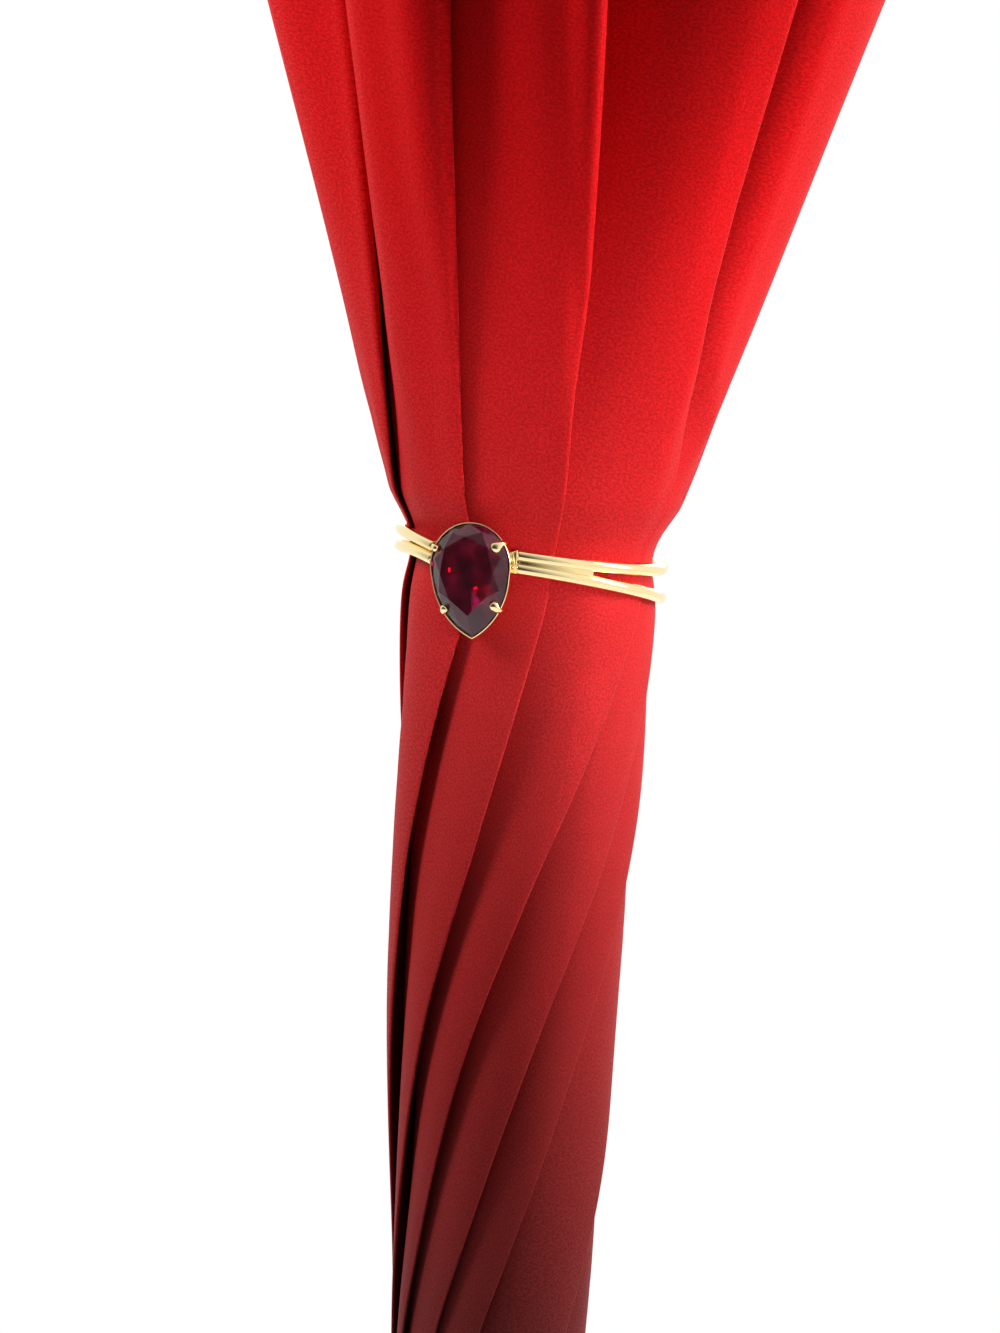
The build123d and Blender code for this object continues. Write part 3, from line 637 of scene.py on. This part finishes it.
# The stone's rings of points: share of the outline, height over the girdle, and which of the
# outline's 16 points are in it.
STONE_RINGS = {
    "low": (1.0, -0.25, slice(0, None, 1)),
    "girdle": (1.0, 0.25, slice(0, None, 1)),
    "crown": (0.88, 1.6, slice(1, None, 2)),
    "table": (0.70, 2.9, slice(0, None, 2)),
    "pavilion": (0.60, -1.7, slice(1, None, 2)),
}
# The gallery round the stone: share of the outline and height, from its back up the outside, over
# the rim and down to the seat.
GALLERY_PROFILE = (
    (0.93, -3.6), (0.98, -3.35), (1.005, -2.2), (1.015, -0.6), (1.03, 0.0), (1.035, 0.3), (1.025, 0.48),
    (1.012, 0.5), (1.004, 0.3), (1.002, -0.3), (0.93, -0.5), (0.91, -1.2), (0.91, -2.9),
)
# The claws: place on the outline, and how far each reaches in, rises and is thick at its end.
CLAWS = (
    (-9.9, 5.6, 2.0, 1.7, 0.95),
    (9.5, 5.8, 2.9, 1.9, 1.55),
    (-7.7, -11.6, 1.9, 1.5, 1.10),
    (8.0, -11.5, 2.6, 1.7, 1.30),
)
# The anchor behind the stone and the lug beside it: turns, the heights of the lower and upper edges
# there, and the radii of the inner and outer faces.
ANCHOR = ((-46.0, -14.0), (409.0, 409.0), (415.4, 415.2), (33.2, 34.8))
LUG = ((-15.5, -6.0), (409.9, 408.7), (413.0, 415.1), (33.3, 35.8))
# A curved plate's section: share of its height and of its thickness, with the outer edges broken.
PLATE_PROFILE = ((0, 0.85), (0.06, 1), (0.94, 1), (1, 0.85), (1, 0), (0.94, 0), (0.06, 0), (0, 0))
# The wires: radius of their run round the cloth, their own radius, where they start from the front
# and how far round they go. The bridge fills the space between them over its own turn.
BANGLE_R, WIRE_R, WIRE_START, WIRE_TURN = 34.3, 1.6, -6.0, 319.0
BRIDGE_START, BRIDGE_END = WIRE_START + 0.6, WIRE_START + 33.0


def from_stone(points):
    """Points in the stone's own frame (right, up, outwards) as places in the model."""
    lean = math.radians(STONE_LEAN)
    outwards = round_dir(STONE_TURN)
    right = math.cos(lean) * round_dir(STONE_TURN + 90) + np.array([0, 0, math.sin(lean)])
    up = np.cross(outwards, right)
    origin = STONE_GIRDLE * outwards + np.array([0, 0, STONE_Z])
    points = np.asarray(points, float)
    return origin + points[:, :1] * right + points[:, 1:2] * up + points[:, 2:] * outwards


def arc_through(a, b, c, count):
    """Points along the arc from a through b to c."""
    corners = np.array([a, b, c], float)
    sides = 2 * np.diff(corners, axis=0)
    centre = np.linalg.solve(sides, np.diff((corners**2).sum(axis=1)))
    radius = math.dist(a, centre)
    first, _, last = corners - centre
    start = math.atan2(first[1], first[0])
    turn = (math.atan2(last[1], last[0]) - start + math.pi) % (2 * math.pi) - math.pi
    angles = start + turn * np.linspace(0, 1, count)
    return centre + radius * np.stack([np.cos(angles), np.sin(angles)], axis=1)


def pear_outline(count):
    """The stone's outline as evenly spaced points, from its top round to the right."""
    shoulder = math.radians(-15)
    turns = np.linspace(math.pi / 2, shoulder, 60)
    head = STONE_R * np.stack([np.cos(turns), np.sin(turns)], axis=1)
    side = arc_through(head[-1], (0.72 * STONE_R, -0.61 * STONE_TAIL), (0, -STONE_TAIL), 60)
    half = np.concatenate([head, side[1:]])
    length = np.concatenate([[0], np.cumsum(np.linalg.norm(np.diff(half, axis=0), axis=1))])
    at = np.linspace(0, length[-1], count // 2 + 1)
    right = np.stack([np.interp(at, length, half[:, i]) for i in (0, 1)], axis=1)
    return np.concatenate([right, right[-2:0:-1] * (-1, 1)])


def make_stone():
    """A pear-shaped brilliant: a table, eight kite facets, and pavilion facets down to a short keel."""
    outline = pear_outline(16)
    rings, points = {}, []
    for name, (share, height, picked) in STONE_RINGS.items():
        ring = [(x * share, y * share, height) for x, y in outline[picked]]
        rings[name] = range(len(points), len(points) + len(ring))
        points += ring
    top, end = len(points), len(points) + 1
    points += [(0.0, KEEL_TOP, KEEL_DEPTH), (0.0, KEEL_END, KEEL_DEPTH)]
    keel = ([top], [top], [top, end], [end], [end], [end], [end, top], [top])
    table, crown, girdle, low, pavilion = [rings[n] for n in ("table", "crown", "girdle", "low", "pavilion")]
    faces = [list(table)]
    for i in range(8):
        corner, middle, after = 2 * i, 2 * i + 1, (2 * i + 2) % 16
        faces += [
            (table[i], crown[i - 1], girdle[corner], crown[i]),
            (table[i], crown[i], table[(i + 1) % 8]),
            (crown[i], girdle[corner], girdle[middle]),
            (crown[i], girdle[middle], girdle[after]),
            (girdle[corner], low[corner], low[middle], girdle[middle]),
            (girdle[middle], low[middle], low[after], girdle[after]),
            (pavilion[i], low[middle], low[corner]),
            (pavilion[i], low[after], low[middle]),
            (low[corner], pavilion[i - 1], *keel[i], pavilion[i]),
        ]
    piece = make_piece("stone_cut", from_stone(points), faces, "stone", "bangle", ["stone"], facetted=True)
    # Painted flashes: each facet a little lighter or darker, the pavilion's up to crimson, for the light that
    # plays inside the stone.
    varied = [(0.5 + 0.37 * i * i + 0.61 * i) % 1.0 for i in range(len(faces))]
    is_deep = [all(points[v][2] < 0 for v in face) for face in faces]
    shades = [v**0.5 if deep else 0.45 + 0.2 * v for v, deep in zip(varied, is_deep)]
    piece.data.attributes.new("facet", "FLOAT", "FACE").data.foreach_set("value", shades)


def bar(path, radii, sides, flat=1.0, across=(0.0, 0.0, 1.0)):
    """Points and faces of a bar along a path, round or flattened, closed at both ends."""
    path, across = np.asarray(path, float), np.asarray(across, float)
    tangents = np.gradient(path, axis=0)
    tangents /= np.linalg.norm(tangents, axis=1)[:, None]
    points = []
    for place, tangent, radius in zip(path, tangents, radii):
        first = across - tangent * across.dot(tangent)
        first /= np.linalg.norm(first)
        second = flat * np.cross(tangent, first)
        for a in np.arange(sides) * 2 * math.pi / sides:
            points.append(place + radius * (math.cos(a) * first + math.sin(a) * second))
    return points, closed_bands(len(path), sides)


def plate(turns, low, high, radii, steps=16):
    """Points and faces of a curved plate round the shaft. Its edges' heights go from end to end."""
    points = []
    for share in np.linspace(0, 1, steps + 1):
        turn, bottom, top = [np.interp(share, (0, 1), ends) for ends in (turns, low, high)]
        for up, outwards in PLATE_PROFILE:
            radius = radii[0] + (radii[1] - radii[0]) * outwards
            points.append(radius * round_dir(turn) + np.array([0, 0, bottom + (top - bottom) * up]))
    return points, closed_bands(steps + 1, len(PLATE_PROFILE))


def gallery(count=96):
    """Points and faces of the wall round the stone, closed behind it and under it."""
    outline = pear_outline(count)
    points = [(x * share, y * share, height) for share, height in GALLERY_PROFILE for x, y in outline]
    return points, closed_bands(len(GALLERY_PROFILE), count)


def claw(x, y, reach, rise, thick):
    """Points and faces of one claw: up the gallery's side, over the stone's edge and on to its crown."""
    inward = np.array([-x, -y - 1.5])
    inward /= np.linalg.norm(inward)
    route = [(-0.15, -3.2), (-0.2, -1.6), (-0.2, -0.2), (0.0, 0.8), (0.45, 1.35 + 0.1 * rise)]
    route += [(0.55 * reach, rise), (0.78 * reach, rise + 0.05)]
    route += [(reach - 0.15, rise - 0.1), (reach, rise - 0.2)]
    radii = [0.55, 0.6, 0.68, 0.75, 0.75 + 0.25 * (thick - 0.75), thick, thick, 0.72 * thick, 0.1]
    path = [(x + inward[0] * u, y + inward[1] * u, height) for u, height in route]
    return bar(path, radii, 12, 0.72, (-inward[1], inward[0], 0))


def joined(parts):
    """Several sets of points and faces as one."""
    points, faces = [], []
    for some, theirs in parts:
        faces += [tuple(len(points) + i for i in face) for face in theirs]
        points += [tuple(p) for p in some]
    return points, faces


def make_setting():
    """The gallery that carries the stone, its claws, and the anchor and lug that hold the wires."""
    points, faces = joined([gallery(), *(claw(*values) for values in CLAWS)])
    points, faces = joined([(from_stone(points), faces), plate(*ANCHOR), plate(*LUG)])
    make_piece("setting", points, faces, "bangle", "bangle", ["stone_setting"])


def wire_heights(turn):
    """Heights of the upper and lower wire's centres, at a turn from the front."""
    a = np.radians(turn)
    dip = np.maximum(0.0, 1 - (WIRE_START + WIRE_TURN - turn) / 30.0)
    upper = BAND_Z - 2.9 * np.sin(a) - 0.75 * np.cos(a) - 1.7 * dip**2
    apart = 3.3 + 7.0 * np.sin(np.pi * (turn - WIRE_START) / WIRE_TURN) ** 2
    return upper, upper - apart


def make_wires():
    """Both wires, with their edges broken at the cut ends."""
    start = np.array([0, 0.12, 0.4])
    run = np.linspace(1, WIRE_TURN - 1, 220)
    turns = WIRE_START + np.concatenate([start, run, WIRE_TURN - start[::-1]])
    radii = np.full(len(turns), WIRE_R)
    radii[[0, -1]], radii[[1, -2]] = 0.86 * WIRE_R, 0.96 * WIRE_R
    a = np.radians(turns - 90)
    for name, heights in zip(("upper", "lower"), wire_heights(turns)):
        path = np.stack([BANGLE_R * np.cos(a), BANGLE_R * np.sin(a), heights], axis=1)
        make_piece(f"wire_{name}", *bar(path, radii, 28), "bangle", "bangle", [f"bangle_{name}_wire"])


def make_bridge():
    """The flat bridge between the wires, from the lug round to the right."""
    high, low = zip(wire_heights(BRIDGE_START), wire_heights(BRIDGE_END))
    points, faces = plate((BRIDGE_START, BRIDGE_END), low, high, (BANGLE_R - 0.5, BANGLE_R + 0.95), 40)
    make_piece("bridge", points, faces, "bangle", "bangle", ["bangle_bridge"])


make_stone()
make_setting()
make_wires()
make_bridge()

# ---------------------------------------------------------------- the CAD pieces' finish

for part in frame["record"]["subparts"]:
    materials = frame["nodes"][part["node"]].data.materials
    materials.clear()
    materials.append(MATERIALS[part["material_slot"]])

# ---------------------------------------------------------------- camera

VIEW_HEIGHT = 348.04  # of what the picture shows at the shaft
AIM_RIGHT, AIM_UP = -8.355, -30.94  # of the picture's middle, from the shaft at the bangle's height
CAMERA_RISE, CAMERA_ROLL = math.radians(4.0), math.radians(3.8)
CAMERA_LENS, CAMERA_SENSOR = 155.0, 36.0


def make_camera():
    """A long lens from the front, a little above the bangle and rolled as in the photograph."""
    back = Vector((0, -math.cos(CAMERA_RISE), math.sin(CAMERA_RISE)))
    level, plumb = Vector((1, 0, 0)), Vector((0, math.sin(CAMERA_RISE), math.cos(CAMERA_RISE)))
    right = level * math.cos(CAMERA_ROLL) + plumb * math.sin(CAMERA_ROLL)
    up = plumb * math.cos(CAMERA_ROLL) - level * math.sin(CAMERA_ROLL)
    distance = VIEW_HEIGHT / CAMERA_SENSOR * CAMERA_LENS
    place = Vector((0, 0, BAND_Z)) + right * AIM_RIGHT + up * AIM_UP + back * distance
    data = bpy.data.cameras.new("camera")
    data.lens, data.sensor_width = CAMERA_LENS, CAMERA_SENSOR
    camera = bpy.data.objects.new("camera", data)
    bpy.context.scene.collection.objects.link(camera)
    basis = Matrix((right, up, back)).transposed().to_4x4()
    basis.translation = place * MM
    camera.matrix_world = basis
    bpy.context.scene.camera = camera


# ---------------------------------------------------------------- floor and lights, in metres

FLOOR_R, FLOOR_SIDES = 1250.0, 96  # millimetres
# Lamps: place, aim, size, watts, spread in degrees, and whether gold and glass mirror them.
LAMPS = {
    "right": ((0.60, -0.085, 0.74), (0, 0, 0.54), (0.2, 0.4), 1.45, 90, True),
    "left": ((-0.54, -0.12, 0.84), (0, 0, 0.57), (0.2, 0.4), 1.0, 70, False),
    "front": ((0.55, -0.84, 0.44), (0, 0, 0.435), (0.12, 0.12), 0.085, 16, False),
    "top": ((0.1, -0.2, 1.7), (0, 0, 0.50), (0.6, 0.4), 3.0, 180, False),
    "back": ((0.2, 1.2, 0.9), (0, 0, 0.50), (1.0, 0.6), 5.0, 180, True),
}
STUDIO_LIGHT = 0.09
# What gold and glass mirror: grey levels from behind the studio's dark card (0) to its middle (1).
CARD_TOWARDS = (-0.62, -0.78, -0.10)
STUDIO_GREYS = ((0.0, 1.0), (0.62, 0.95), (0.82, 0.42), (0.91, 0.06))


def make_floor():
    """A round floor at the ferrule's end, which isn't part of the object."""
    points = [(0, 0, GROUND_Z)]
    for a in np.arange(FLOOR_SIDES) * 2 * math.pi / FLOOR_SIDES:
        points.append((FLOOR_R * math.cos(a), FLOOR_R * math.sin(a), GROUND_Z))
    faces = [(0, 1 + i, 1 + (i + 1) % FLOOR_SIDES) for i in range(FLOOR_SIDES)]
    new_object("floor", points, faces, floor_material())


def make_lamp(name, place, aim, size, watts, spread, is_mirrored):
    """A rectangular lamp that faces its aim."""
    data = bpy.data.lights.new(name, "AREA")
    data.shape = "RECTANGLE"
    data.size, data.size_y = size
    data.energy, data.spread = watts, math.radians(spread)
    lamp = bpy.data.objects.new(name, data)
    lamp.location = place
    lamp.rotation_euler = (Vector(aim) - Vector(place)).to_track_quat("-Z", "Y").to_euler()
    lamp.visible_glossy = is_mirrored
    bpy.context.scene.collection.objects.link(lamp)


def make_world():
    """White to the camera; elsewhere a bright studio with a dark card at the front left."""
    world = bpy.data.worlds.new("studio")
    bpy.context.scene.world = world
    world.use_nodes = True
    tree = Tree(world.node_tree)

    def chosen(share, plain, other):
        node = tree.add("MixShader")
        for source, target in zip((share, plain.outputs[0], other.outputs[0]), node.inputs):
            tree.link(source, target)
        return node

    plain = world.node_tree.nodes["Background"]
    plain.inputs["Color"].default_value = (*WHITE, 1.0)
    plain.inputs["Strength"].default_value = STUDIO_LIGHT
    towards = tree.add("VectorMath", operation="DOT_PRODUCT")
    tree.link(tree.add("TexCoord").outputs["Generated"], towards.inputs[0])
    towards.inputs[1].default_value = Vector(CARD_TOWARDS).normalized()
    facing = tree.math("MULTIPLY_ADD", towards.outputs["Value"], 0.5, 0.5)
    mirrored = tree.add("Background")
    greys = tree.ramp(facing, *((position, (grey, grey, grey)) for position, grey in STUDIO_GREYS))
    tree.link(greys, mirrored.inputs["Color"])
    white = tree.add("Background", Color=(*WHITE, 1.0))
    path = tree.add("LightPath")
    by_mirror = tree.math("MAXIMUM", path.outputs["Is Glossy Ray"], path.outputs["Is Transmission Ray"])
    shown = chosen(path.outputs["Is Camera Ray"], chosen(by_mirror, plain, mirrored), white)
    tree.link(shown.outputs[0], world.node_tree.nodes["World Output"].inputs["Surface"])


make_camera()
make_floor()
for lamp_name, values in LAMPS.items():
    make_lamp(f"lamp_{lamp_name}", *values)
make_world()
bpy.context.scene.view_settings.view_transform = "Standard"
